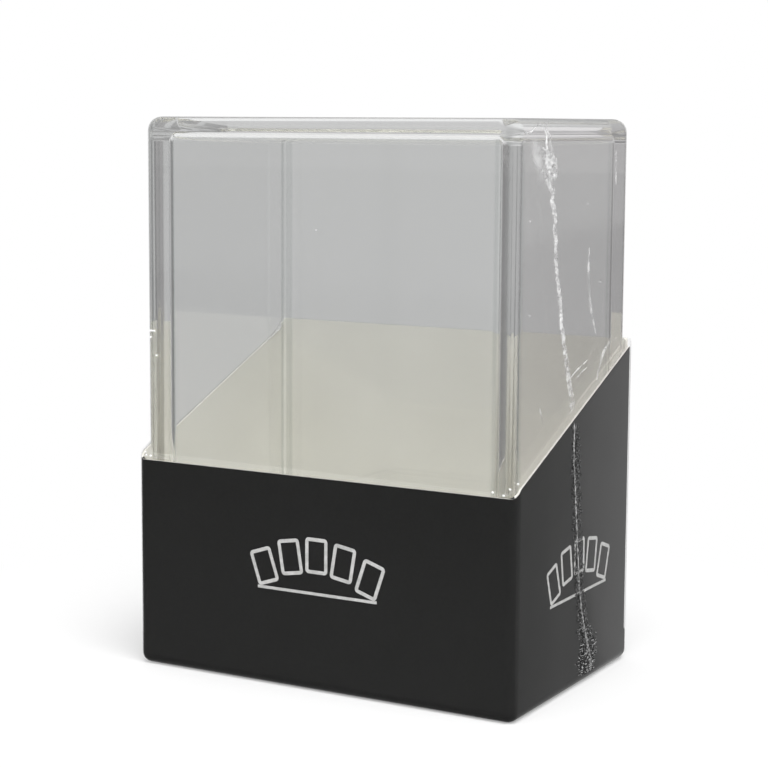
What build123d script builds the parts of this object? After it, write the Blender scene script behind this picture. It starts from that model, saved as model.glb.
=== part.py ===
from build123d import *
import os

# Trading card storage box: a clear two-piece case in a folded carton sleeve, sealed in shrink film.
# The front faces -Y. The origin is on the underside, at its centre. All sizes are in millimetres.

# What the case stores: rigid card holders, standing in a row
HOLDER_WIDTH = 76.2
HOLDER_HEIGHT = 101.6
ROW_DEPTH = 44.0
SIDE_PLAY = 0.6
ROW_PLAY = 1.0
HEAD_ROOM = 6.9

# Clear case, moulded as a cover and a base
CASE_WALL = 4.2
CASE_FLOOR = 3.0
CASE_TOP = 3.0
EDGE_ROUND = 2.8
INNER_ROUND = 2.0
BASE_HEIGHT = 18.0
LIP_HEIGHT = 8.0
RIM_WALL = 1.9
LIP_CLEARANCE = 0.3
LIP_LEAD_IN = 0.4

# Carton sleeve, folded from one blank
BOARD = 0.5
SLEEVE_PLAY = 0.8
FRONT_HEIGHT = 44.0
BACK_HEIGHT = 69.5
FOLD_ROUND = 2.2
FOLD_CLIMB = 1.6
GLUE_FLAP_WIDTH = 12.0
GLUE_FLAP_TRIM = 2.0
DUST_FLAP_REACH = 28.0
FLAP_SIDE_GAP = 0.2
FLAP_MEETING_GAP = 1.0
FLAP_CORNER_CUT = 3.0

# Shrink film and its trim seam, which leans back as it runs down the right side
FILM = 0.1
FILM_GAP = 0.05
SLIT = 0.6
SEAM_WIDTH = 1.4
SEAM_RISE = 0.45
SEAM_HEAD_Y = -17.0
SEAM_EDGE_Y = -1.0
SEAM_FOOT_Y = 7.2

# Levels that follow from the stack of film, bottom flaps and case
OUTER_FLAP_LEVEL = FILM
DUST_FLAP_LEVEL = OUTER_FLAP_LEVEL + BOARD
CASE_FOOT = DUST_FLAP_LEVEL + BOARD
SHOULDER = CASE_FOOT + BASE_HEIGHT
CASE_HEAD = CASE_FOOT + CASE_FLOOR + HOLDER_HEIGHT + HEAD_ROOM + CASE_TOP
FRONT_EDGE = FILM + FRONT_HEIGHT
BACK_EDGE = FILM + BACK_HEIGHT

# Plan sizes that follow from what is stored
INNER_WIDTH = HOLDER_WIDTH + 2 * SIDE_PLAY
INNER_DEPTH = ROW_DEPTH + 2 * ROW_PLAY
CASE_WIDTH = INNER_WIDTH + 2 * CASE_WALL
CASE_DEPTH = INNER_DEPTH + 2 * CASE_WALL
SLEEVE_WIDTH = CASE_WIDTH + 2 * (SLEEVE_PLAY + BOARD)
SLEEVE_DEPTH = CASE_DEPTH + 2 * (SLEEVE_PLAY + BOARD)

# Cutting blocks reach this far past the work
PAST = 20.0
QUARTER_TURN = 90
TOP = -1
BOTTOM = 0


def block(width, depth, low, high, radius):
    """An upright block from one level to another, with its upright edges rounded."""
    plan = Pos(0, 0, low) * RectangleRounded(width, depth, radius)
    return extrude(plan, high - low)


def end_edges(solid, end):
    return solid.faces().sort_by(Axis.Z)[end].edges()


def capped_block(width, depth, low, high, radius, end):
    """An upright block with its upright edges and the edges of one end rounded alike."""
    plain = Pos(0, 0, (low + high) / 2) * Box(width, depth, high - low)
    return fillet(plain.edges().filter_by(Axis.Z) + end_edges(plain, end), radius)


def side_profile(points):
    """A prism across the whole width, from an outline in Y and Z."""
    outline = Plane.YZ * make_face(Polyline(*points, close=True))
    return extrude(outline, SLEEVE_WIDTH / 2 + PAST, both=True)


def sleeve_top_line(rise):
    """The sleeve's top edge from behind to in front: high back, straight slope, low front.

    The slanting cut of the blank starts and ends at the folds, so the edge also climbs as it goes round each fold.
    """
    panel_inside = SLEEVE_DEPTH / 2 - BOARD
    slope_half = SLEEVE_DEPTH / 2 - FOLD_ROUND
    far = SLEEVE_DEPTH / 2 + PAST
    return [
        (far, BACK_EDGE + rise),
        (panel_inside, BACK_EDGE + rise),
        (slope_half, BACK_EDGE - FOLD_CLIMB + rise),
        (-slope_half, FRONT_EDGE + FOLD_CLIMB + rise),
        (-panel_inside, FRONT_EDGE + rise),
        (-far, FRONT_EDGE + rise),
    ]


def below_sleeve_top(drop=0.0):
    far = SLEEVE_DEPTH / 2 + PAST
    return side_profile(sleeve_top_line(-drop) + [(-far, -PAST), (far, -PAST)])


def above_sleeve_top(rise):
    far = SLEEVE_DEPTH / 2 + PAST
    head = CASE_HEAD + PAST
    return side_profile(sleeve_top_line(rise) + [(-far, head), (far, head)])


# Clear case
def inset_block(inset, low, high):
    """A block inside the case's outline, with corners that keep an even distance from it."""
    return block(CASE_WIDTH - 2 * inset, CASE_DEPTH - 2 * inset, low, high, EDGE_ROUND - inset)


def make_case_cover():
    """Closed top and four walls. The rim is thinned from inside, to fit over the lip of the base."""
    shell = capped_block(CASE_WIDTH, CASE_DEPTH, SHOULDER, CASE_HEAD, EDGE_ROUND, TOP)
    hollow = capped_block(INNER_WIDTH, INNER_DEPTH, SHOULDER, CASE_HEAD - CASE_TOP, INNER_ROUND, TOP)
    rebate = inset_block(RIM_WALL, SHOULDER, SHOULDER + LIP_HEIGHT + LIP_CLEARANCE)
    return shell - hollow - rebate


def make_case_base():
    """Floor and low walls, with a lip that stands up inside the cover's rim."""
    lip_top = SHOULDER + LIP_HEIGHT
    tray = capped_block(CASE_WIDTH, CASE_DEPTH, CASE_FOOT, SHOULDER, EDGE_ROUND, BOTTOM)
    lip = inset_block(RIM_WALL + LIP_CLEARANCE, SHOULDER, lip_top)
    lip = chamfer(end_edges(lip, TOP), LIP_LEAD_IN)
    hollow = capped_block(INNER_WIDTH, INNER_DEPTH, CASE_FOOT + CASE_FLOOR, lip_top, INNER_ROUND, BOTTOM)
    return tray + lip - hollow


# Carton sleeve: middle lines of the board, in plan
MID_X = (SLEEVE_WIDTH - BOARD) / 2
MID_Y = (SLEEVE_DEPTH - BOARD) / 2
GLUE_MID_X = MID_X - BOARD
FOLD_MID = FOLD_ROUND - BOARD / 2
RIGHT_PANEL_END = SLEEVE_DEPTH / 2 - FOLD_ROUND
GLUE_FLAP_END = SLEEVE_DEPTH / 2 - GLUE_FLAP_WIDTH

# Centres of the upright folds, where one leaf ends and the next begins
FOLD_X = SLEEVE_WIDTH / 2 - FOLD_ROUND
FOLD_Y = SLEEVE_DEPTH / 2 - FOLD_ROUND
GLUE_FOLD_X = FOLD_X - BOARD


def board_strip(points):
    """A strip of board standing on edge, folded along a line in plan."""
    plan = trace(FilletPolyline(*points, radius=FOLD_MID), BOARD)
    return extrude(plan, BACK_EDGE)


def leaf(strip, corners, foot, trim=0.0):
    """One leaf of a strip: a wedge of its plan, from the bottom fold to the sleeve's top edge."""
    wedge = Pos(0, 0, foot) * make_face(Polyline(*corners, close=True))
    return strip & extrude(wedge, BACK_EDGE - foot) & below_sleeve_top(trim)


def make_panels():
    """The four panels and the glue flap. The flap is glued inside the right panel, at the back."""
    wrap = board_strip([
        (MID_X, RIGHT_PANEL_END),
        (MID_X, -MID_Y),
        (-MID_X, -MID_Y),
        (-MID_X, MID_Y),
        (0, MID_Y),
    ])
    back_strip = board_strip([
        (-MID_X, 0),
        (-MID_X, MID_Y),
        (GLUE_MID_X, MID_Y),
        (GLUE_MID_X, GLUE_FLAP_END),
    ])
    front_left = (-FOLD_X, -FOLD_Y)
    front_right = (FOLD_X, -FOLD_Y)
    back_left = (-FOLD_X, FOLD_Y)
    back_right = (GLUE_FOLD_X, FOLD_Y)
    past_front_left = (-FOLD_X - PAST, -FOLD_Y - PAST)
    past_front_right = (FOLD_X + PAST, -FOLD_Y - PAST)
    past_back_left = (-FOLD_X - PAST, FOLD_Y + PAST)
    past_back_right = (GLUE_FOLD_X + PAST, FOLD_Y + PAST)
    right_end = (FOLD_X, RIGHT_PANEL_END)
    past_right_end = (FOLD_X + PAST, RIGHT_PANEL_END)
    glue_end = (GLUE_FOLD_X, GLUE_FLAP_END)
    past_glue_end = (GLUE_FOLD_X + PAST, GLUE_FLAP_END)
    outer_foot = OUTER_FLAP_LEVEL + FOLD_ROUND
    side_foot = DUST_FLAP_LEVEL + FOLD_ROUND
    glue_foot = side_foot + GLUE_FLAP_TRIM
    return {
        "carton_front_panel": leaf(
            wrap, [front_left, front_right, past_front_right, past_front_left], outer_foot),
        "carton_left_panel": leaf(
            wrap, [back_left, front_left, past_front_left, past_back_left], side_foot),
        "carton_right_panel": leaf(
            wrap, [front_right, right_end, past_right_end, past_front_right], side_foot),
        "carton_back_panel": leaf(
            back_strip, [back_left, back_right, past_back_right, past_back_left], outer_foot),
        "carton_glue_flap": leaf(
            back_strip, [back_right, past_back_right, past_glue_end, glue_end], glue_foot, GLUE_FLAP_TRIM),
    }


def bottom_flap(half_span, reach, level, width):
    """A flap that turns in under the sleeve from an edge at -half_span and lies flat at its level."""
    fold_centre = (-half_span + FOLD_ROUND, level + FOLD_ROUND)
    fold = CenterArc(fold_centre, FOLD_MID, 2 * QUARTER_TURN, QUARTER_TURN)
    flat_line = Line(fold @ 1, (reach - half_span, level + BOARD / 2))
    section = Plane.YZ * trace(fold + flat_line, BOARD)
    flap = extrude(section, width / 2, both=True)
    free_edge = flap.faces().sort_by(Axis.Y)[-1]
    return chamfer(free_edge.edges().filter_by(Axis.Z), FLAP_CORNER_CUT)


def make_bottom_flaps():
    """Two dust flaps lie under the case. The front and back flaps lie under them and meet in the middle."""
    long_width = SLEEVE_WIDTH - 2 * (FOLD_ROUND + FLAP_SIDE_GAP)
    short_width = SLEEVE_DEPTH - 2 * (FOLD_ROUND + FLAP_SIDE_GAP)
    half_width = SLEEVE_WIDTH / 2
    half_depth = SLEEVE_DEPTH / 2
    outer_flap = bottom_flap(half_depth, half_depth - FLAP_MEETING_GAP / 2, OUTER_FLAP_LEVEL, long_width)
    dust_flap = bottom_flap(half_width, DUST_FLAP_REACH, DUST_FLAP_LEVEL, short_width)
    return {
        "carton_front_flap": outer_flap,
        "carton_back_flap": Rot(0, 0, 2 * QUARTER_TURN) * outer_flap,
        "carton_left_dust_flap": Rot(0, 0, -QUARTER_TURN) * dust_flap,
        "carton_right_dust_flap": Rot(0, 0, QUARTER_TURN) * dust_flap,
    }


# Shrink film
def make_cover_film():
    """The film over the top and walls of the cover, down to a slit just above the sleeve."""
    outside, inside = [
        capped_block(
            CASE_WIDTH + 2 * grow, CASE_DEPTH + 2 * grow, SHOULDER, CASE_HEAD + grow, EDGE_ROUND + grow, TOP)
        for grow in (FILM_GAP + FILM, FILM_GAP)
    ]
    return (outside - inside) & above_sleeve_top(SLIT)


def make_sleeve_film():
    """The film round the sleeve, and the pan of film under it that the box stands on."""
    outside, inside = [
        capped_block(
            SLEEVE_WIDTH + 2 * grow, SLEEVE_DEPTH + 2 * grow, level, BACK_EDGE, FOLD_ROUND + grow, BOTTOM)
        for grow, level in ((FILM_GAP + FILM, 0), (FILM_GAP, FILM))
    ]
    wrap = (outside - inside) & below_sleeve_top()
    pan_height = FILM + FOLD_ROUND
    pan_zone = Pos(0, 0, pan_height / 2) * Box(SLEEVE_WIDTH + PAST, SLEEVE_DEPTH + PAST, pan_height)
    return {
        "film_sleeve_skin": wrap - pan_zone,
        "film_bottom": wrap & pan_zone,
    }


def seam_bead(face_x, start, towards):
    """A low rounded bead on a face at face_x, straight from one point through another, given in Y and Z."""
    outward = Vector(1, 0, 0)
    foot = Vector(face_x, *start)
    run = Vector(face_x, *towards) - foot
    section_plane = Plane(origin=foot, x_dir=outward.cross(run), z_dir=run)
    left = (-SEAM_WIDTH / 2, 0)
    right = (SEAM_WIDTH / 2, 0)
    section = make_face(Line(left, right) + ThreePointArc(right, (0, SEAM_RISE), left))
    return extrude(section_plane * section, run.length + PAST)


def make_seams():
    """The trim seam, parted where the film is slit."""
    film_out = FILM_GAP + FILM
    crossing = (SEAM_EDGE_Y, (FRONT_EDGE + BACK_EDGE) / 2)
    upper = seam_bead(CASE_WIDTH / 2 + film_out, (SEAM_HEAD_Y, CASE_HEAD - EDGE_ROUND), crossing)
    lower = seam_bead(SLEEVE_WIDTH / 2 + film_out, (SEAM_FOOT_Y, FILM + FOLD_ROUND), crossing)
    return {
        "film_seam_upper": upper & above_sleeve_top(SLIT),
        "film_seam_lower": lower & below_sleeve_top(),
    }


nodes = {
    "case_cover": make_case_cover(),
    "case_base": make_case_base(),
    "film_cover_skin": make_cover_film(),
}
nodes.update(make_panels())
nodes.update(make_bottom_flaps())
nodes.update(make_sleeve_film())
nodes.update(make_seams())

os.makedirs("parts", exist_ok=True)
for name, solid in nodes.items():
    solid.label = name
    export_step(solid, f"parts/{name}.step")
    print(name, len(solid.solids()), round(solid.volume, 1))
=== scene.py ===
# %% [markdown]
# # A card case in a carton sleeve
# A clear two-piece plastic case stands in a black folded carton sleeve, and the whole is sealed in shrink film.
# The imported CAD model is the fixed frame: the carton leaves, the base and the cover come from it and keep their
# shapes. Blender adds what CAD leaves plain: the finishes, the film with its crinkled seam, and the printed mark.

# %% Load the frame
import math
import bmesh
import bpy
from mathutils import Matrix, Vector, noise


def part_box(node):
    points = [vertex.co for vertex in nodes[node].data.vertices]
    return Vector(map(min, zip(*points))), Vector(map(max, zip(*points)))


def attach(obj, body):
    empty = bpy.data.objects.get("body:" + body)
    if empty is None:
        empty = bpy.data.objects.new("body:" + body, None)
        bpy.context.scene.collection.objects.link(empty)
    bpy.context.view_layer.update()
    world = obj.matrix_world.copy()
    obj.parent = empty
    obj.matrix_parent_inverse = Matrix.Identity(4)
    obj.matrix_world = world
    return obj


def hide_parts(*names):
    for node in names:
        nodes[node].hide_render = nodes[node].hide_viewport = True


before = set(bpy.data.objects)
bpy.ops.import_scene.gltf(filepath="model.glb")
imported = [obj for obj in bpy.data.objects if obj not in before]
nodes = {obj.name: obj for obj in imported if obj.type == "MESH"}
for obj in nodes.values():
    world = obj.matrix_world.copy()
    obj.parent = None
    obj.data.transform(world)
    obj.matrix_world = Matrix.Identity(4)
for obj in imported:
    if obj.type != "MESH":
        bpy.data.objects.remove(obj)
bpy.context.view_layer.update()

MM = 0.001
bpy.ops.object.select_all(action="DESELECT")
print("nodes:", ", ".join(sorted(nodes)))

# %% [markdown]
# ## Camera
# The photograph looks at the front and the right side from a little above the middle, with a long lens. The place
# and the turn of the camera were worked out from the straight edges of the sleeve and the case. A small downward
# shift of the frame stands for the crop of the picture.

# %% Camera
CAMERA_PLACE = Vector((198.626, -354.587, 114.443)) * MM
CAMERA_TURN, CAMERA_DIP, CAMERA_ROLL = 29.342, 7.057, 0.344
CAMERA_LENS = 90.82
CROP_SHIFT, PICTURE_SIDE = 20, 768

bpy.ops.object.camera_add()
camera = bpy.context.object
camera.name = "camera"
camera.data.lens = CAMERA_LENS
camera.data.shift_y = -CROP_SHIFT / PICTURE_SIDE
camera.matrix_world = (Matrix.Translation(CAMERA_PLACE)
                       @ Matrix.Rotation(math.radians(CAMERA_TURN), 4, "Z")
                       @ Matrix.Rotation(math.radians(90 - CAMERA_DIP), 4, "X")
                       @ Matrix.Rotation(math.radians(CAMERA_ROLL), 4, "Z"))
bpy.context.scene.camera = camera
print("camera at", [round(x, 3) for x in CAMERA_PLACE], "lens", camera.data.lens)

# %% [markdown]
# ## Node helpers
# Every finish is a small net of shader nodes. These helpers add one node each, set its plain values and link the
# rest, so that a finish reads as a list of its layers.

# %% Node helpers
def fresh_material(name):
    """A new material with an empty node net."""
    material = bpy.data.materials.new(name)
    material.use_nodes = True
    material.node_tree.nodes.clear()
    return material


def add(tree, kind, values=None, **settings):
    """Add a node. values go to its inputs by name or number: a socket is linked, anything else is set."""
    node = tree.nodes.new("ShaderNode" + kind)
    for key, value in settings.items():
        setattr(node, key, value)
    for key, value in (values or {}).items():
        if isinstance(value, bpy.types.NodeSocket):
            tree.links.new(value, node.inputs[key])
        else:
            node.inputs[key].default_value = value
    return node


def show(tree, surface):
    """Send a shader to the material's output."""
    add(tree, "OutputMaterial", {"Surface": surface})


def calc(tree, operation, *values):
    """One step of arithmetic on sockets and numbers."""
    return add(tree, "Math", dict(enumerate(values)), operation=operation).outputs[0]


def dot(tree, first, second):
    """How far one vector runs along another."""
    return add(tree, "VectorMath", {0: first, 1: second}, operation="DOT_PRODUCT").outputs["Value"]


def parts_of(tree, vector):
    """The X, Y and Z of a vector, each as a socket."""
    return add(tree, "SeparateXYZ", {0: vector}).outputs


def spread(tree, value, low, high, to_low=0.0, to_high=1.0):
    """Stretch one range of values to another, held at both ends."""
    return add(tree, "MapRange", {"Value": value, "From Min": low, "From Max": high,
                                  "To Min": to_low, "To Max": to_high}).outputs[0]


# %% Colour helpers
def clouds(tree, place, scale, detail):
    """Soft noise, from 0 to 1."""
    return add(tree, "TexNoise", {"Vector": place, "Scale": scale, "Detail": detail}).outputs["Fac"]


def blend(tree, share, first, second, how="MIX"):
    """Mix two colours by a share, or lay one over the other in another way."""
    return add(tree, "MixRGB", {0: share, 1: first, 2: second}, blend_type=how).outputs[0]


def ramp(tree, value, *stops):
    """A colour ramp. Each stop is a place and a grey level or a colour."""
    node = add(tree, "ValToRGB", {"Fac": value})
    elements = node.color_ramp.elements
    for count, (at, level) in enumerate(stops):
        stop = elements[count] if count < 2 else elements.new(at)
        stop.position = at
        stop.color = (*level, 1) if isinstance(level, tuple) else (level, level, level, 1)
    return node.outputs[0]


print("node helpers ready")

# %% [markdown]
# ## Studio
# The object stands on a white table that runs out into a white backdrop, and the camera meets pure white there. The
# room that the film mirrors is grey with a bright ceiling. Light that went through the plastic meets a grey backdrop,
# palest straight behind the object, and comes back a little duller after a long way through the walls.

# %% Studio settings
scene = bpy.context.scene
scene.view_settings.view_transform = "Standard"
scene.cycles.max_bounces = 96
scene.cycles.glossy_bounces = 64
scene.cycles.transmission_bounces = 64
scene.cycles.transparent_max_bounces = 24

WHITE = (1, 1, 1, 1)
BACKDROP_WAY = Vector((-0.49, 0.87, 0)).normalized()
SEEN_THROUGH = [(0.0, 0.56), (0.1, 0.50), (0.45, 0.25), (0.8, 0.34), (0.95, 0.61)]
BENT_DEPTH = 3.0
LONG_WAY_DEPTHS, LONG_WAY = (5.0, 9.0), 0.84


def bent_share(tree, ray):
    """1 for a ray that the plastic has bent, else 0."""
    deep = calc(tree, "GREATER_THAN", ray["Ray Depth"], BENT_DEPTH)
    return calc(tree, "MAXIMUM", deep, ray["Is Transmission Ray"])


def backdrop_tone(tree, way):
    """Grey of the backdrop in a direction, as it shows through the plastic."""
    return ramp(tree, spread(tree, dot(tree, way, BACKDROP_WAY), -1.0, 1.0), *SEEN_THROUGH)


def dulled(tree, ray, tone):
    """A tone made duller after a long way through the walls."""
    kept = spread(tree, ray["Ray Depth"], *LONG_WAY_DEPTHS, 1.0, LONG_WAY)
    return blend(tree, 1.0, tone, kept, "MULTIPLY")


# %% Backdrop
ROOM_TONES = [(0.0, 0.36), (0.5, 0.38), (0.9, 0.42), (0.98, 0.46)]
MIRRORED_CEILING, CEILING_TONE = (0.1, 0.6), 0.78
BENT_CEILING = (0.1, 0.5)
STRAY_LIGHT = (0.7, 0.7, 0.7, 1)

world = bpy.data.worlds.new("studio")
scene.world = world
world.use_nodes = True
tree = world.node_tree
tree.nodes.clear()
way = add(tree, "TexCoord").outputs["Generated"]
parts = parts_of(tree, way)
ray = add(tree, "LightPath").outputs
around = ramp(tree, spread(tree, parts["Y"], -1.0, 1.0), *ROOM_TONES)
above = spread(tree, parts["Z"], *MIRRORED_CEILING, 0.0, CEILING_TONE)
mirror = blend(tree, 1.0, around, above, "LIGHTEN")
ceiling = spread(tree, parts["Z"], *BENT_CEILING)
through = blend(tree, 1.0, backdrop_tone(tree, way), ceiling, "LIGHTEN")
level = blend(tree, bent_share(tree, ray), mirror, dulled(tree, ray, through))
level = blend(tree, ray["Is Diffuse Ray"], level, STRAY_LIGHT)
level = blend(tree, ray["Is Camera Ray"], level, WHITE)
background = add(tree, "Background", {"Color": level})
add(tree, "OutputWorld", {"Surface": background.outputs[0]})
print("backdrop:", len(tree.nodes), "nodes")

# %% [markdown]
# ## Table
# The table takes the object's shadow and fades to white away from it. What it shows in the film's gloss has two parts:
# a dark strip for the front panel, and a fan of greys for the right panel, which grows paler from front to back. The
# fan opens from the place where the camera stands in that panel's mirror image.

# %% Table
SHADOW_REACH, SHADOW_WHITE = (0.045, 0.13), 0.3
TABLE_SPAN = (-0.2, 0.6)
FRONT_TONES, FRONT_END = [(0.0, 0.05), (0.215, 0.10)], (0.214, 0.22)
FAN_POINT, FAN_SLOPES = (-0.11, -0.355), (2.11, 2.48)
FAN_TONES = [(0.0, 0.22), (0.1, 0.225), (0.36, 0.25), (0.6, 0.235), (0.72, 0.24), (0.86, 0.345), (1.0, 0.37)]
FAN_END, FAN_END_TONE = (0.2, 0.26), 0.5
TABLE_PAINT = (0.75, 0.75, 0.75, 1)

bpy.ops.mesh.primitive_plane_add(size=8, location=(0, 0, 0))
floor = bpy.context.object
floor.name = "floor"
white_table = fresh_material("white_table")
tree = white_table.node_tree
place = add(tree, "TexCoord").outputs["Object"]
parts = parts_of(tree, place)
ray = add(tree, "LightPath").outputs
depth = spread(tree, parts["Y"], *TABLE_SPAN)
front = ramp(tree, depth, *FRONT_TONES)
back_way = calc(tree, "SUBTRACT", parts["Y"], FAN_POINT[1])
right_way = calc(tree, "SUBTRACT", parts["X"], FAN_POINT[0])
fan = spread(tree, calc(tree, "DIVIDE", back_way, right_way), *FAN_SLOPES)
fan_end = spread(tree, parts["X"], *FAN_END, 1.0, FAN_END_TONE)
side = blend(tree, 1.0, ramp(tree, fan, *FAN_TONES), fan_end, "MULTIPLY")
mirror = blend(tree, spread(tree, depth, *FRONT_END), front, side)
way = add(tree, "VectorMath", {0: place}, operation="NORMALIZE").outputs["Vector"]
through = dulled(tree, ray, backdrop_tone(tree, way))
tone = blend(tree, bent_share(tree, ray), mirror, through)
tone = blend(tree, ray["Is Camera Ray"], tone, WHITE)
away = add(tree, "VectorMath", {0: place}, operation="LENGTH").outputs["Value"]
blank = calc(tree, "MULTIPLY", ray["Is Camera Ray"], spread(tree, away, *SHADOW_REACH, SHADOW_WHITE))
indirect = calc(tree, "MAXIMUM", ray["Is Glossy Ray"], ray["Is Transmission Ray"])
blank = calc(tree, "MAXIMUM", blank, indirect)
paint = add(tree, "BsdfDiffuse", {"Color": TABLE_PAINT})
lift = add(tree, "Emission", {"Color": tone})
mixed = add(tree, "MixShader", {0: blank, 1: paint.outputs[0], 2: lift.outputs[0]})
show(tree, mixed.outputs[0])
floor.data.materials.append(white_table)
print("table:", len(tree.nodes), "nodes")

# %% [markdown]
# ## Lamps
# A large soft box hangs in front of the object, above and to the right, and a weak one stands on the left. Neither
# shows in the gloss or through the plastic.

# %% Lamps
def soft_lamp(name, place, target, size, power):
    """A square soft box at place, turned to target."""
    bpy.ops.object.light_add(type="AREA", location=place)
    lamp = bpy.context.object
    lamp.name = name
    lamp.data.shape = "SQUARE"
    lamp.data.size = size
    lamp.data.energy = power
    lamp.rotation_euler = (Vector(target) - Vector(place)).to_track_quat("-Z", "Y").to_euler()
    lamp.visible_glossy = False
    lamp.visible_transmission = False


soft_lamp("top_light", (0.3, -0.3, 0.7), (0, 0, 0.05), size=0.6, power=7.5)
soft_lamp("left_light", (-0.7, -0.5, 0.5), (0, 0, 0.06), size=0.5, power=1.0)
print("two soft boxes")

# %% [markdown]
# ## Carton board
# The sleeve is one sheet of solid board, printed matt black on one side. The other side and the core are cream, and
# the cut edge shows the core. Each leaf has one finish that tells the sides apart by the way the surface faces, so
# one net of nodes covers the print, the bare side and the cut edge. The bare side is painted darker towards its top
# edge: painted shade.

# %% Carton board
SQUARE_ON = 0.45
DARK_FOOT_HEIGHT, INK_DEPTH = 5 * MM, 0.12
TOP_SHADE_SPAN, TOP_SHADE_SHARES = (38 * MM, 70 * MM), (1.02, 0.78)
INK = [(0.3, (0.0085, 0.0085, 0.0081)), (0.75, (0.0125, 0.0125, 0.0119))]
PULP = [(0.3, (0.725, 0.715, 0.655)), (0.75, (0.775, 0.765, 0.705))]
CORE = [(0.3, (0.52, 0.51, 0.47)), (0.75, (0.66, 0.65, 0.61))]


def board_finish(name, outward, reach):
    """Black matt print on the side that faces outward, bare cream board behind it, pale core on the cut edge.

    reach is how far out the printed side lies, in millimetres.
    """
    material = fresh_material(name)
    tree = material.node_tree
    coords = add(tree, "TexCoord").outputs
    place, height = coords["Object"], parts_of(tree, coords["Object"])["Z"]
    facing = dot(tree, coords["Normal"], outward)
    printed = calc(tree, "GREATER_THAN", facing, SQUARE_ON)
    bare = calc(tree, "LESS_THAN", facing, -SQUARE_ON)
    # Below the foot height everything but the bare side is made black, the cut edges too.
    foot = calc(tree, "SUBTRACT", calc(tree, "LESS_THAN", height, DARK_FOOT_HEIGHT), bare)
    rim = calc(tree, "GREATER_THAN", dot(tree, place, outward), (reach - INK_DEPTH) * MM)
    black_share = calc(tree, "MAXIMUM", calc(tree, "MAXIMUM", printed, foot), rim)
    cloud = clouds(tree, place, 45.0, 3.0)
    fibre = clouds(tree, place, 1400.0, 4.0)
    # Painted shade: the bare side darkens towards its top edge.
    painted_top_shade = spread(tree, height, *TOP_SHADE_SPAN, *TOP_SHADE_SHARES)
    pulp = blend(tree, 1.0, ramp(tree, cloud, *PULP), painted_top_shade, "MULTIPLY")
    inside = blend(tree, bare, ramp(tree, fibre, *CORE), pulp)
    finish = blend(tree, black_share, inside, ramp(tree, fibre, *INK))
    rough = spread(tree, cloud, 0.3, 0.7, 0.42, 0.55)
    tooth = add(tree, "Bump", {"Height": fibre, "Strength": 0.15, "Distance": 0.00005})
    paint = add(tree, "BsdfPrincipled", {"Base Color": finish, "Roughness": rough, "Normal": tooth.outputs[0]})
    show(tree, paint.outputs[0])
    return material


# %% Board on the leaves
SLANT = math.sqrt(0.5)
LEAVES = {"carton_front_panel": (0, -1, 0), "carton_back_panel": (0, 1, 0), "carton_left_panel": (-1, 0, 0),
          "carton_right_panel": (1, 0, 0), "carton_glue_flap": (1, 0, 0),
          "carton_front_flap": (0, -SLANT, -SLANT), "carton_back_flap": (0, SLANT, -SLANT),
          "carton_left_dust_flap": (-SLANT, 0, -SLANT), "carton_right_dust_flap": (SLANT, 0, -SLANT)}
SLEEVE_REACH = {0: 44.2, 1: 28.5}
finishes = {}
for leaf, outward in LEAVES.items():
    if outward not in finishes:
        reach = SLEEVE_REACH[0 if outward[0] else 1]
        finishes[outward] = board_finish("board_" + leaf.removeprefix("carton_"), outward, reach)
    nodes[leaf].data.materials.clear()
    nodes[leaf].data.materials.append(finishes[outward])
print("board finishes:", len(finishes))

# %% [markdown]
# ## Clear plastic
# The case is moulded in clear polystyrene with a polished surface. Light goes through it to the board, so lamps and
# stray light pass straight through, and the eye meets real glass-like walls that bend what is behind them. A ray that
# is trapped in a wall for too long goes straight on as well. The round corners are tinted grey: painted shade for the
# dark lines that the bent light draws along them.

# %% Clear plastic
PLASTIC_IOR = 1.57
CORNER_PAINTED_SHADE = [(0.0, (0.995, 1.0, 0.998)), (0.06, (0.97, 0.98, 0.975)), (0.2, (0.75, 0.77, 0.765)),
               (0.38, (0.77, 0.79, 0.785)), (0.46, (0.96, 0.97, 0.965))]
TOP_PLATE = (111.5 * MM, 112.5 * MM)
WALL_BOUNCES, TOP_BOUNCES = 12.0, 3.0

clear_plastic = fresh_material("clear_plastic")
tree = clear_plastic.node_tree
coords = add(tree, "TexCoord").outputs
ray = add(tree, "LightPath").outputs
flow = clouds(tree, coords["Object"], 60.0, 1.0)
haze = spread(tree, flow, 0.0, 1.0, 0.0, 0.03)
wave = add(tree, "Bump", {"Height": flow, "Strength": 0.02, "Distance": 0.0002})
# Painted shade: a grey tint where the walls turn round a corner.
sides = parts_of(tree, coords["Normal"])
turn = calc(tree, "ABSOLUTE", calc(tree, "MULTIPLY", sides["X"], sides["Y"]))
moulded = add(tree, "BsdfPrincipled", {"Base Color": ramp(tree, turn, *CORNER_PAINTED_SHADE), "Roughness": haze,
                                       "IOR": PLASTIC_IOR, "Transmission Weight": 1.0, "Normal": wave.outputs[0]})
passing = add(tree, "BsdfTransparent", {"Color": (0.985, 0.985, 0.985, 1)})
height = parts_of(tree, coords["Object"])["Z"]
limit = spread(tree, height, *TOP_PLATE, WALL_BOUNCES, TOP_BOUNCES)
trapped = calc(tree, "GREATER_THAN", ray["Ray Depth"], limit)
light_only = calc(tree, "MAXIMUM", ray["Is Shadow Ray"], ray["Is Diffuse Ray"])
straight = calc(tree, "MAXIMUM", light_only, trapped)
mixed = add(tree, "MixShader", {0: straight, 1: moulded.outputs[0], 2: passing.outputs[0]})
show(tree, mixed.outputs[0])
for part in ("case_base", "case_cover"):
    nodes[part].data.materials.clear()
    nodes[part].data.materials.append(clear_plastic)
print("clear plastic on the base and the cover")

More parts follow.
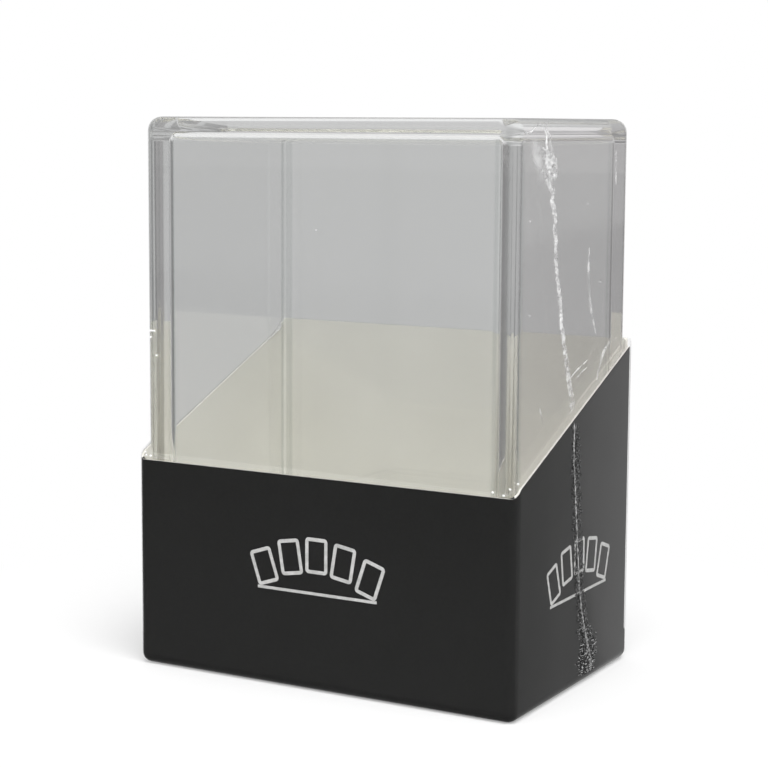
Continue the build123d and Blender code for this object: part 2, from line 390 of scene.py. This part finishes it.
# %% [markdown]
# ## Film finish
# Shrink film is a few hundredths of a millimetre thick. It bends nothing, so light goes straight through, and all that
# shows is its gloss: weak when faced squarely, strong at a slant. Slack left by the shrinking gives soft waves. On the
# case the side with the seam is tinted a little grey, a painted shade that darkens that pane.

# %% Film finish
FILM_CLEAR, FILM_SHADE_GREY = (0.975, 0.975, 0.975, 1), (0.89, 0.875, 0.88, 1)
SHADE_SIDE_SPAN = (42.6 * MM, 43.0 * MM)
GLOSS_SQUARE, GLOSS_POWER = 0.07, 5.0


def film_finish(name, shade_side_tone):
    """Clear gloss that grows towards a slant, over a straight view through. shade_side_tone is the painted shade on
    the right.
    """
    material = fresh_material(name)
    tree = material.node_tree
    place = add(tree, "TexCoord").outputs["Object"]
    ray = add(tree, "LightPath").outputs
    slack = clouds(tree, place, 70.0, 2.0)
    fine = clouds(tree, place, 650.0, 2.0)
    wave = add(tree, "Bump", {"Height": slack, "Strength": 0.10, "Distance": 0.0006})
    wave = add(tree, "Bump", {"Height": fine, "Strength": 0.05, "Distance": 0.0001, "Normal": wave.outputs[0]})
    blur = spread(tree, slack, 0.3, 0.7, 0.05, 0.14)
    gloss = add(tree, "BsdfGlossy", {"Color": WHITE, "Roughness": blur, "Normal": wave.outputs[0]})
    # Painted shade: the view through turns grey towards the right side.
    right = spread(tree, parts_of(tree, place)["X"], *SHADE_SIDE_SPAN)
    clear = add(tree, "BsdfTransparent", {"Color": blend(tree, right, FILM_CLEAR, shade_side_tone)})
    slant = add(tree, "LayerWeight", {"Blend": 0.5}).outputs["Facing"]
    share = spread(tree, calc(tree, "POWER", slant, GLOSS_POWER), 0.0, 1.0, GLOSS_SQUARE, 1.0)
    light_only = calc(tree, "MAXIMUM", ray["Is Shadow Ray"], ray["Is Diffuse Ray"])
    share = calc(tree, "MULTIPLY", share, calc(tree, "SUBTRACT", 1.0, light_only))
    sheet = add(tree, "MixShader", {0: share, 1: clear.outputs[0], 2: gloss.outputs[0]})
    show(tree, sheet.outputs[0])
    return material


case_film = film_finish("film_on_case", FILM_SHADE_GREY)
sleeve_film = film_finish("film_on_sleeve", FILM_CLEAR)
print("film finishes:", case_film.name, sleeve_film.name)

# %% [markdown]
# ## Film over the case
# The film is drawn tight over the cover. It is made as a box with its upright and top edges bevelled and its underside
# taken off. The open rim follows the slanting top edge of the sleeve, then turns out in a narrow ledge that bridges
# the step from the case to the board.

# %% Measures of the film
FRONT_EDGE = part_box("carton_front_panel")[1][2] / MM
BACK_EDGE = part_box("carton_back_panel")[1][2] / MM
SLOPE_HALF, PANEL_INSIDE, CLIMB = 26.3, 28.0, 1.6
CASE_HALF, CASE_ROUND = (43.04, 27.34), 2.9
SLEEVE_HALF, SLEEVE_ROUND = (44.33, 28.63), 2.3
FILM_LOW, FILM_TOP = 0.01, 115.74
LEDGE_LOW, LEDGE_HIGH, LEDGE_OUT, LEDGE_GAP = 0.25, 1.0, 1.2, 0.03
BEVEL_STEPS, SMOOTH_ANGLE = 6, 40


def top_line(y):
    """Height of the sleeve's top edge at a place from front to back, in millimetres."""
    knots = [(-PANEL_INSIDE, FRONT_EDGE), (-SLOPE_HALF, FRONT_EDGE + CLIMB), (SLOPE_HALF, BACK_EDGE - CLIMB),
             (PANEL_INSIDE, BACK_EDGE)]
    y = min(max(y, knots[0][0]), knots[-1][0])
    for (ya, za), (yb, zb) in zip(knots, knots[1:]):
        if y <= yb:
            return za + (zb - za) * (y - ya) / (yb - ya)


print("sleeve's top edge from", round(FRONT_EDGE, 2), "to", round(BACK_EDGE, 2), "mm")


# %% Film helpers
def film_box(name, half, low, high, radius, open_level):
    """A box of film with bevelled edges, open at one level. Leaves it in edit mode, with its rim selected."""
    bpy.ops.object.select_all(action="DESELECT")
    bpy.ops.mesh.primitive_cube_add(size=1)
    piece = bpy.context.object
    piece.name = name
    bpy.ops.transform.resize(value=(2 * half[0] * MM, 2 * half[1] * MM, (high - low) * MM))
    bpy.ops.transform.translate(value=(0, 0, (low + high) / 2 * MM))
    bpy.ops.object.transform_apply(location=True, rotation=True, scale=True)
    bpy.ops.object.mode_set(mode="EDIT")
    bpy.ops.mesh.select_mode(type="FACE")
    mesh = bmesh.from_edit_mesh(piece.data)
    for face in mesh.faces:
        face.select_set(abs(face.calc_center_median().z - open_level * MM) < 1e-6)
    bpy.ops.mesh.delete(type="ONLY_FACE")
    bpy.ops.mesh.select_mode(type="EDGE")
    mesh = bmesh.from_edit_mesh(piece.data)
    for edge in mesh.edges:
        edge.select_set(not edge.is_boundary)
    bpy.ops.mesh.bevel(offset=radius * MM, segments=BEVEL_STEPS, affect="EDGES")
    mesh = bmesh.from_edit_mesh(piece.data)
    for edge in mesh.edges:
        edge.select_set(edge.is_boundary)
    bmesh.update_edit_mesh(piece.data)
    return piece


def finish_piece(piece, material, body, slot, *replaced):
    """Smooth a piece, give it its finish and tie it to the frame."""
    if bpy.context.mode != "OBJECT":
        bpy.ops.object.mode_set(mode="OBJECT")
    bpy.ops.object.select_all(action="DESELECT")
    piece.select_set(True)
    bpy.context.view_layer.objects.active = piece
    bpy.ops.object.shade_smooth_by_angle(angle=math.radians(SMOOTH_ANGLE))
    piece.data.materials.append(material)
    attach(piece, body)
    if replaced:
        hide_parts(*replaced)
    print(piece.name, len(piece.data.polygons), "faces")


# %% Film over the case
CASE_FILM_FOOT = 40
film = film_box("film_over_case", CASE_HALF, CASE_FILM_FOOT, FILM_TOP, CASE_ROUND, CASE_FILM_FOOT)
inner_x, inner_y = [h - CASE_ROUND for h in CASE_HALF]


def step_out(place, far):
    """A place on the film's outline moved straight out from the outline's round corners, in millimetres."""
    core = Vector((min(max(place.x, -inner_x), inner_x), min(max(place.y, -inner_y), inner_y)))
    return core + (Vector(place.xy) - core).normalized() * (CASE_ROUND + far)


def ledge_rise(place):
    """The ledge stands highest at the left of the front and lies nearly flat elsewhere."""
    front = min(max((-20 - place.y) / 6, 0), 1)
    left = min(max((20 - place.x) / 60, 0), 1)
    return LEDGE_LOW + (LEDGE_HIGH - LEDGE_LOW) * front * left


mesh = bmesh.from_edit_mesh(film.data)
for vert in mesh.verts:
    if vert.select:
        place = vert.co / MM
        vert.co.z = (top_line(step_out(place, LEDGE_OUT).y) + ledge_rise(place)) * MM
bpy.ops.mesh.extrude_edges_move(TRANSFORM_OT_translate={"value": (0, 0, 0)})
mesh = bmesh.from_edit_mesh(film.data)
for vert in mesh.verts:
    if vert.select:
        edge_place = step_out(vert.co / MM, LEDGE_OUT)
        vert.co = Vector((edge_place.x, edge_place.y, top_line(edge_place.y) + LEDGE_GAP)) * MM
bmesh.update_edit_mesh(film.data)
finish_piece(film, case_film, "cover", "shrink_film", "film_cover_skin")

# %% [markdown]
# ## Film round the sleeve
# Below the ledge the same film lies on the board and closes under the foot. It is a second box with its upright and
# bottom edges bevelled and its top taken off, and its rim follows the sleeve's top edge.

# %% Film round the sleeve
SLEEVE_FILM_RIM = 60
film = film_box("film_round_sleeve", SLEEVE_HALF, FILM_LOW, SLEEVE_FILM_RIM, SLEEVE_ROUND, SLEEVE_FILM_RIM)
mesh = bmesh.from_edit_mesh(film.data)
for vert in mesh.verts:
    if vert.select:
        vert.co.z = top_line(vert.co.y / MM) * MM
bmesh.update_edit_mesh(film.data)
finish_piece(film, sleeve_film, "sleeve", "shrink_film", "film_sleeve_skin", "film_bottom")

# %% [markdown]
# ## Foot folds of the carton
# The dust flaps fold in above the front and back flaps. On the real carton the board is pressed round and closed at
# these folds, down to the table. The leaves of the CAD model leave a narrow slit there and a notch at each corner, so
# a thin black strip lies over the left and the right foot: a bevelled tray of which only the two ends are kept.

# %% Foot folds of the carton
FOLD_HALF, FOLD_ROUND = (44.24, 28.54), 2.2
FOLD_LOW, FOLD_HIGH, FOLD_START = 0.07, 6.5, 38.0
LARGE_FACE, FACE_CUTS = 10 * MM * MM, 12
FOLD_INK_REACH = -8

folds = film_box("carton_foot_folds", FOLD_HALF, FOLD_LOW, FOLD_HIGH, FOLD_ROUND, FOLD_HIGH)
bpy.ops.mesh.select_mode(type="FACE")
mesh = bmesh.from_edit_mesh(folds.data)
for face in mesh.faces:
    face.select_set(face.calc_area() > LARGE_FACE)
bpy.ops.mesh.subdivide(number_cuts=FACE_CUTS)
mesh = bmesh.from_edit_mesh(folds.data)
for face in mesh.faces:
    face.select_set(abs(face.calc_center_median().x) < FOLD_START * MM)
bpy.ops.mesh.delete(type="FACE")
finish_piece(folds, board_finish("board_foot_folds", (0, 0, -1), FOLD_INK_REACH), "sleeve", "black_board")

# %% [markdown]
# ## Trim seam
# The bag is closed by a hot wire that leaves a shrivelled, milky bead. It starts in a knot at the top, winds down the
# right side of the case, and runs on over the sleeve, where the black board behind it turns it dark, with painted
# glints.
# Each part is a flat grid laid along the seam's path and crumpled with noise.

# %% Milky film
LAYERS_THIN, LAYERS_THICK = 0.38, 0.62
MILK_SPAN = (58 * MM, 72 * MM)
SOFT_EDGE = (0.15, 0.5)


def milky_film(name, thin, thick, scale, dim=0.42, bright=0.62, soft=False, low=1.0):
    """Shrivelled film: whitish where it lies in many layers, nearly clear where it is thin.

    A soft one fades out to its edges. low is the share of the milkiness that is left down at the sleeve's rim.
    """
    material = fresh_material(name)
    tree = material.node_tree
    coords = add(tree, "TexCoord").outputs
    layers = clouds(tree, coords["Object"], scale, 3.0)
    veil = spread(tree, layers, LAYERS_THIN, LAYERS_THICK, thin, thick)
    kept = spread(tree, parts_of(tree, coords["Object"])["Z"], *MILK_SPAN, low)
    veil = calc(tree, "MULTIPLY", veil, kept)
    if soft:
        sheet = parts_of(tree, coords["UV"])
        for axis in ("X", "Y"):
            off = calc(tree, "ABSOLUTE", calc(tree, "SUBTRACT", sheet[axis], 0.5))
            veil = calc(tree, "MULTIPLY", veil, spread(tree, off, *SOFT_EDGE, 1.0, 0.0))
    tint = ramp(tree, layers, (0.35, dim), (0.65, bright))
    creases = add(tree, "Bump", {"Height": layers, "Strength": 0.4, "Distance": 0.0003})
    melt = add(tree, "BsdfPrincipled", {"Base Color": tint, "Roughness": 0.28, "Alpha": veil,
                                        "Normal": creases.outputs[0]})
    show(tree, melt.outputs[0])
    return material


seam_milk = milky_film("seam_milk", 0.3, 0.92, 800.0, 0.44, 0.68, low=0.45)
# Painted highlight: a near-white finish for the glint dots.
glint_white = milky_film("glint_white", 0.9, 1.0, 620.0, 0.85, 0.97)
ridge_milk = milky_film("ridge_milk", 0.5, 0.9, 1300.0, 0.22, 0.46)
veil_milk = milky_film("veil_milk", 0.12, 0.55, 230.0, soft=True)
crease_milk = milky_film("crease_milk", 0.12, 0.46, 420.0, 0.5, 0.8)
print("five milky finishes")

# %% Dark film
CRINKLE_STRETCH = (1.0, 0.55, 1.4)
# The top stop of the fold tones is a painted glint.
FOLD_AND_GLINT_TONES = [(0.45, 0.006), (0.60, 0.010), (0.66, 0.16)]
PAINTED_GLINT_SPAN, PAINTED_GLINT_TONES = (5 * MM, 18 * MM), (0.40, 0.12)


def dark_crinkle(name):
    """Shrivelled film on black board: dark folds with painted glints, light specks in the colour that are brighter
    down at the foot.
    """
    material = fresh_material(name)
    tree = material.node_tree
    place = add(tree, "TexCoord").outputs["Object"]
    flat = add(tree, "VectorMath", {0: place, 1: CRINKLE_STRETCH}, operation="MULTIPLY").outputs["Vector"]
    folds = clouds(tree, flat, 1700.0, 3.0)
    lit = spread(tree, clouds(tree, flat, 2300.0, 2.0), 0.56, 0.62)
    veil = calc(tree, "MAXIMUM", spread(tree, folds, 0.47, 0.56, 0.0, 0.85), lit)
    # Painted glints: light specks in the colour, brighter down at the foot.
    painted_glint = spread(tree, parts_of(tree, place)["Z"], *PAINTED_GLINT_SPAN, *PAINTED_GLINT_TONES)
    painted_glint = calc(tree, "MULTIPLY", painted_glint, lit)
    tint = blend(tree, 1.0, ramp(tree, folds, *FOLD_AND_GLINT_TONES), painted_glint, "LIGHTEN")
    creases = add(tree, "Bump", {"Height": folds, "Strength": 0.8, "Distance": 0.0005})
    melt = add(tree, "BsdfPrincipled", {"Base Color": tint, "Roughness": 0.2, "Alpha": veil,
                                        "Normal": creases.outputs[0]})
    show(tree, melt.outputs[0])
    return material


seam_dark = dark_crinkle("seam_dark")
print("dark finish:", seam_dark.name)

# %% Seam paths
CASE_SIDE, SLEEVE_SIDE = 43.06, 44.35


def along_path(knots, share):
    """The values of a path at a share of its length, its run in Y and Z, and the length so far."""
    steps = [math.dist(a[:2], b[:2]) for a, b in zip(knots, knots[1:])]
    left = share * sum(steps)
    for (a, b), step in zip(zip(knots, knots[1:]), steps):
        if left <= step + 1e-9:
            break
        left -= step
    mix = min(left / step, 1.0)
    values = [p + (q - p) * mix for p, q in zip(a, b)]
    return values, Vector((b[0] - a[0], b[1] - a[1])).normalized(), share * sum(steps)


def film_turn(face_x, y, z):
    """How far the film has turned in from the side: over the case's top and corner, or under the sleeve."""
    if abs(face_x) < (CASE_SIDE + SLEEVE_SIDE) / 2:
        radius = CASE_ROUND
        over = math.hypot(max(z - FILM_TOP + radius, 0), max(-y - CASE_HALF[1] + radius, 0))
    else:
        radius = SLEEVE_ROUND
        over = max(radius - z, 0)
    return radius - math.sqrt(max(radius ** 2 - over ** 2, 0))


# %% Seam strips
SWAY_STEP, WIDTH_STEP, LUMP_STEP, FOLD_STEP = 1.1, 0.55, 0.6, 0.3


def side_strip(name, face_x, knots, across, along, crumple, seed):
    """A crumpled strip on the right or left side. knots are (y, z, half width, rise), all in millimetres."""
    bpy.ops.object.select_all(action="DESELECT")
    bpy.ops.mesh.primitive_grid_add(x_subdivisions=across, y_subdivisions=along, size=2)
    piece = bpy.context.object
    piece.name = name
    for vert in piece.data.vertices:
        t = vert.co.x
        (y, z, half, rise), run, way = along_path(knots, (vert.co.y + 1) / 2)
        side = 1 if t > 0 else -1
        sway = 0.30 * crumple * noise.noise(Vector((way / SWAY_STEP, seed, 0.5)))
        half *= 1.12 + 0.6 * crumple * noise.noise(Vector((way / WIDTH_STEP, side * 3.7, seed)))
        lump = 0.62 + 0.5 * noise.noise(Vector((way / LUMP_STEP, t * 1.2, seed + 9)))
        fold = 0.3 * noise.noise(Vector((way / FOLD_STEP, t * 4, seed + 21)))
        height = rise * (1 - t * t) * min(max(lump + crumple * fold, 0.05), 1.0)
        shift = t * half + sway
        y, z = y + run.y * shift, z - run.x * shift
        out = height - film_turn(face_x, y, z)
        vert.co = Vector((face_x + math.copysign(out, face_x), y, z)) * MM
    return piece


def joined(name, pieces):
    """Make several pieces one object."""
    bpy.ops.object.select_all(action="DESELECT")
    for piece in pieces:
        piece.select_set(True)
    bpy.context.view_layer.objects.active = pieces[0]
    bpy.ops.object.join()
    pieces[0].name = name
    return pieces[0]


# %% Seam on the case
STRAND = [(-15.2, 104.6, 0.7, 0.30), (-12.9, 102.9, 0.75, 0.36), (-11.5, 101.3, 0.8, 0.38), (-12.0, 99.7, 0.8, 0.36),
          (-10.9, 98.1, 0.75, 0.36), (-10.5, 95.7, 0.7, 0.34), (-10.7, 94.2, 0.7, 0.34), (-9.9, 92.1, 0.75, 0.34),
          (-10.0, 89.1, 0.65, 0.32), (-9.4, 86.1, 0.65, 0.32), (-8.3, 83.0, 0.6, 0.30), (-7.3, 80.2, 0.75, 0.30),
          (-6.9, 76.6, 0.7, 0.28), (-5.5, 72.4, 0.7, 0.26), (-4.0, 67.7, 0.8, 0.24), (-2.6, 64.0, 0.9, 0.20),
          (-0.5, 58.6, 1.0, 0.16), (-0.2, 57.6, 0.9, 0.10)]
CURLS = [
    [(-17.3, 107.8, 0.35, 0.2), (-15.0, 108.4, 0.55, 0.36), (-12.7, 108.6, 0.75, 0.42), (-10.9, 107.5, 0.8, 0.42),
     (-12.6, 107.1, 0.5, 0.36), (-15.0, 107.5, 0.3, 0.2)],
    [(-11.9, 106.9, 0.5, 0.3), (-10.3, 105.8, 0.9, 0.42), (-10.8, 104.7, 0.7, 0.42), (-13.5, 104.4, 0.5, 0.36),
     (-15.4, 104.8, 0.5, 0.3), (-17.2, 105.9, 0.3, 0.2)],
    [(-17.1, 115.0, 0.3, 0.1), (-15.7, 113.8, 0.35, 0.25), (-15.2, 112.2, 0.3, 0.3), (-15.0, 110.7, 0.35, 0.3),
     (-14.4, 108.9, 0.5, 0.3)],
    [(-15.0, 113.4, 0.2, 0.15), (-13.5, 112.2, 0.25, 0.25), (-13.3, 110.9, 0.25, 0.25), (-12.1, 108.8, 0.4, 0.3)],
    [(-18.4, 110.6, 0.15, 0.1), (-16.4, 109.8, 0.35, 0.3), (-14.6, 108.9, 0.5, 0.35)],
    [(-25.6, 113.3, 0.12, 0.2), (-24.0, 112.9, 0.2, 0.3), (-21.9, 113.2, 0.2, 0.3), (-20.6, 114.0, 0.12, 0.1)],
    [(-20.6, 114.7, 0.1, 0.1), (-19.6, 114.5, 0.3, 0.3), (-18.6, 114.4, 0.1, 0.1)],
    [(-14.6, 109.4, 0.6, 0.2), (-13.9, 108.0, 1.5, 0.38), (-13.4, 106.4, 1.8, 0.42), (-13.3, 104.9, 1.6, 0.4),
     (-12.6, 103.4, 0.8, 0.3)],
]
strips = [side_strip("strand", CASE_SIDE, STRAND, 10, 320, 1.0, 3.1)]
strips += [side_strip("curl", CASE_SIDE, knots, 8, 90, 0.7, 30.7 + count) for count, knots in enumerate(CURLS)]
finish_piece(joined("seam_on_case", strips), seam_milk, "cover", "shrink_film", "film_seam_upper")

# %% Seam on the sleeve
BAND = [(-1.9, 55.4, 1.4, 0.10), (-1.6, 52.0, 1.9, 0.14), (-1.0, 44.0, 2.1, 0.14), (0.2, 33.0, 1.95, 0.14),
        (1.7, 21.0, 1.95, 0.16), (4.5, 11.0, 2.5, 0.25), (6.6, 6.5, 4.4, 0.40), (6.6, 4.0, 4.6, 0.42),
        (6.6, 1.9, 3.2, 0.30)]
RIDGE = [(-2.5, 55.5, 0.2, 0.25), (-2.4, 48.1, 0.2, 0.3), (-1.8, 44.1, 0.2, 0.3), (-1.1, 38.9, 0.2, 0.3),
         (-0.3, 32.9, 0.2, 0.3), (0.6, 27.2, 0.2, 0.3), (1.5, 20.7, 0.2, 0.3), (2.9, 15.6, 0.22, 0.34),
         (5.1, 10.3, 0.25, 0.42), (7.2, 6.1, 0.3, 0.44), (7.8, 3.9, 0.35, 0.44), (8.0, 2.2, 0.3, 0.4)]
strip = side_strip("seam_on_sleeve", SLEEVE_SIDE, BAND, 16, 320, 1.0, 7.7)
finish_piece(strip, seam_dark, "sleeve", "shrink_film", "film_seam_lower")
strip = side_strip("seam_ridge", SLEEVE_SIDE, RIDGE, 4, 320, 0.5, 1.9)
finish_piece(strip, ridge_milk, "sleeve", "shrink_film")

# %% [markdown]
# ## Creases and bubbles
# Where the film had too much slack it folded over itself: a webbed fold low at the back, a long upright crease, short
# ones by the corners, one on the left side, and a hazy web between the front corner and the knot. They are the same
# crumpled strips, smoother and thinner. Faint bubbles of trapped air lie on the panes. On the ledge and at the left
# corner bright white dots are painted glints: highlights given as white colour.

# %% Creases
CREASES = [
    [(21.7, 70.4, 0.1, 0.1), (17.6, 69.5, 0.3, 0.25), (15.0, 68.1, 0.45, 0.35), (13.7, 66.4, 0.5, 0.35),
     (12.2, 64.4, 0.35, 0.2), (11.6, 62.4, 0.2, 0.1)],
    [(-1.7, 64.4, 0.08, 0.1), (2.0, 65.8, 0.2, 0.2), (7.1, 67.2, 0.08, 0.1)],
    [(0.4, 63.6, 0.05, 0.1), (3.4, 64.8, 0.12, 0.2), (6.2, 65.6, 0.05, 0.1)],
    [(6.5, 90.0, 0.1, 0.1), (6.2, 85.8, 0.4, 0.3), (6.4, 82.7, 0.45, 0.3), (7.5, 78.5, 0.45, 0.3),
     (9.4, 74.2, 0.3, 0.2), (10.8, 72.0, 0.1, 0.1)],
    [(-16.3, 60.1, 0.1, 0.1), (-15.4, 58.2, 0.3, 0.2), (-14.6, 56.5, 0.1, 0.1)],
    [(19.3, 109.4, 0.2, 0.1), (19.5, 105.8, 0.4, 0.2), (19.7, 102.2, 0.1, 0.1)],
]
LEFT_CREASE = [(27.2, 70.3, 0.15, 0.1), (25.8, 69.3, 0.55, 0.4), (24.2, 68.4, 0.7, 0.45), (22.4, 67.4, 0.5, 0.35),
               (20.4, 66.2, 0.3, 0.2), (18.0, 65.0, 0.1, 0.1)]
FAINT_BUBBLES = [(43.05, -21.9, 96.4), (43.05, -21.5, 78.4), (43.05, 5.4, 98.8), (43.05, 12.3, 82.6),
                 (-0.9, -27.35, 93.6)]
DOT_RADIUS, DOT_SHAPE = 0.26, (1.0, 0.7, 0.8)


def bubble(place):
    """A small flattened dot, at a place in millimetres. The faint ones are bubbles of trapped air, the white ones
    painted glints.
    """
    bpy.ops.mesh.primitive_ico_sphere_add(subdivisions=3, radius=DOT_RADIUS * MM, location=Vector(place) * MM)
    bpy.ops.transform.resize(value=DOT_SHAPE)
    bpy.ops.object.transform_apply(location=True, rotation=True, scale=True)
    return bpy.context.object


strips = [side_strip("crease", CASE_SIDE, knots, 6, 60, 0.35, 11.3 + count) for count, knots in enumerate(CREASES)]
strips.append(side_strip("left_crease", -CASE_SIDE, LEFT_CREASE, 6, 60, 0.9, 19.3))
strips += [bubble(place) for place in FAINT_BUBBLES]
finish_piece(joined("film_creases", strips), crease_milk, "cover", "shrink_film")

# %% Web and painted glints
WEB_SIDE = CASE_SIDE - 0.005
WEB = [(-25.0, 112.4, 0.9, 0.05), (-20.5, 110.0, 3.4, 0.1), (-15.5, 107.2, 5.2, 0.15), (-9.5, 103.9, 2.6, 0.05)]
# Painted glints: bright white dots on the ledge and at the left corner.
GLINT_DOTS = [(38.8, -27.8, 44.95), (41.3, -28.1, 44.6), (42.3, -27.4, 45.8), (43.3, -26.0, 46.7),
           (-42.5, -27.7, 44.9), (-41.2, -27.9, 44.9), (-43.2, -27.0, 45.4), (-41.8, -26.8, 71.2),
           (-41.4, -27.05, 71.3), (-40.9, -27.24, 71.3), (-40.4, -27.33, 71.3), (-41.6, -26.94, 69.9),
           (-39.9, -27.34, 66.2)]
strip = side_strip("film_web", WEB_SIDE, WEB, 16, 60, 0.3, 5.5)
finish_piece(strip, veil_milk, "cover", "shrink_film")
glint_dots = [bubble(place) for place in GLINT_DOTS]
finish_piece(joined("film_glint_dots", glint_dots), glint_white, "cover", "shrink_film")

# %% [markdown]
# ## Printed mark
# The mark on the front and on the right side is plain and pale grey: a fan of five blank cards over a thin rule. Each
# card is a plane with its corners bevelled and its middle inset and taken out.

# %% Print finish
print_grey = fresh_material("print_grey")
tree = print_grey.node_tree
speck = clouds(tree, add(tree, "TexCoord").outputs["Object"], 1100.0, 3.0)
tint = ramp(tree, speck, (0.3, (0.42, 0.42, 0.41)), (0.7, (0.56, 0.56, 0.55)))
rough = spread(tree, speck, 0.0, 1.0, 0.45, 0.6)
ink = add(tree, "BsdfPrincipled", {"Base Color": tint, "Roughness": rough})
show(tree, ink.outputs[0])
print("print finish:", print_grey.name)

# %% Printed mark
CARD, CARD_CORNER, CARD_LINE = (5.2, 7.4), 0.8, 0.75
FAN_PLACES, FAN_RISE, FAN_SAG, FAN_LEAN = (-12.4, -6.2, 0, 6.2, 12.4), 2.2, 0.022, -1.5
RULE, RULE_DROP, RULE_CORNER = (28, 0.6), 5.6, 0.25


def flat_card(at, lean):
    """A card outline lying flat, leaning by an angle in degrees."""
    bpy.ops.mesh.primitive_plane_add(size=1)
    card = bpy.context.object
    bpy.ops.transform.resize(value=(CARD[0] * MM, CARD[1] * MM, 1))
    bpy.ops.object.transform_apply(scale=True)
    bpy.ops.object.mode_set(mode="EDIT")
    bpy.ops.mesh.select_all(action="SELECT")
    bpy.ops.mesh.bevel(offset=CARD_CORNER * MM, segments=4, affect="VERTICES")
    bpy.ops.mesh.inset(thickness=CARD_LINE * MM)
    bpy.ops.mesh.delete(type="FACE")
    bpy.ops.object.mode_set(mode="OBJECT")
    card.matrix_world = Matrix.Translation((at[0] * MM, at[1] * MM, 0)) @ Matrix.Rotation(math.radians(lean), 4, "Z")
    return card


def printed_mark(name, stand):
    """The fan and the rule, stood up on a face by a matrix."""
    bpy.ops.object.select_all(action="DESELECT")
    pieces = [flat_card((x, FAN_RISE - FAN_SAG * x * x), FAN_LEAN * x) for x in FAN_PLACES]
    bpy.ops.mesh.primitive_plane_add(size=1)
    rule = bpy.context.object
    bpy.ops.transform.resize(value=(RULE[0] * MM, RULE[1] * MM, 1))
    bpy.ops.transform.translate(value=(0, -RULE_DROP * MM, 0))
    bpy.ops.object.mode_set(mode="EDIT")
    bpy.ops.mesh.bevel(offset=RULE_CORNER * MM, segments=3, affect="VERTICES")
    bpy.ops.object.mode_set(mode="OBJECT")
    for piece in pieces:
        piece.select_set(True)
    rule.select_set(True)
    bpy.context.view_layer.objects.active = rule
    bpy.ops.object.transform_apply(location=True, rotation=True, scale=True)
    bpy.ops.object.join()
    rule.name = name
    rule.matrix_world = stand
    bpy.ops.object.transform_apply(location=True, rotation=True, scale=True)
    finish_piece(rule, print_grey, "sleeve", "black_board")


FRONT_MARK, SIDE_MARK = Vector((0, -28.53, 26.0)) * MM, Vector((44.23, 1.6, 25.4)) * MM
UPRIGHT = Matrix.Rotation(math.radians(90), 4, "X")
TO_THE_RIGHT = Matrix.Rotation(math.radians(90), 4, "Z")
printed_mark("printed_mark_front", Matrix.Translation(FRONT_MARK) @ UPRIGHT)
printed_mark("printed_mark_side", Matrix.Translation(SIDE_MARK) @ TO_THE_RIGHT @ UPRIGHT)
